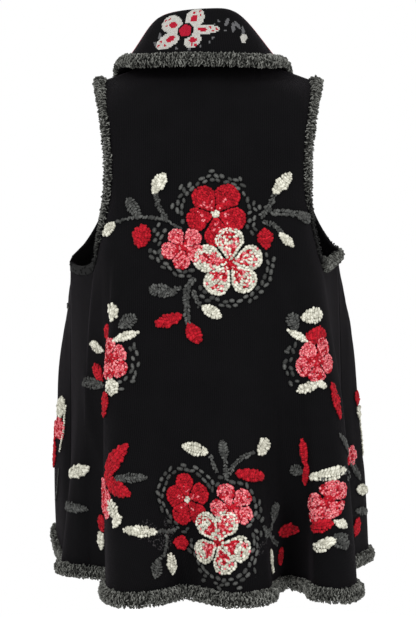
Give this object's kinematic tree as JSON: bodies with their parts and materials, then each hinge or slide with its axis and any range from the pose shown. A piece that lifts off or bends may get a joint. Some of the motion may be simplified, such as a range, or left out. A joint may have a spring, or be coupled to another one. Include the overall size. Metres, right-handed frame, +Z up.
{
  "type": "sleeveless wool gilet",
  "caption": "Sleeveless swing gilet in thick knitted wool, hollow as worn, with folded shawl collar, flared hem, looped pile edging and raised yarn flowers.",
  "frame": {"origin": "middle of the base of the neck, between the inner ends of the shoulder seams, where the wearer's shoulders carry it", "axes": "+Z up, -Y the way the wearer faces, +X the wearer's left"},
  "size_m": [0.6449, 0.5079, 1.0305],
  "materials": {
    "black_wool": "felted matt knit, slightly hairy",
    "grey_pile": "looped wool pile"
  },
  "bodies": {
    "root": {"back": "black_wool", "front_left": "black_wool", "front_right": "black_wool", "collar": "black_wool", "pile_armhole_left": "grey_pile", "pile_armhole_right": "grey_pile", "pile_hem_back": "grey_pile", "pile_hem_front_left": "grey_pile", "pile_hem_front_right": "grey_pile", "pile_collar": "grey_pile"}
  },
  "joints": []
}
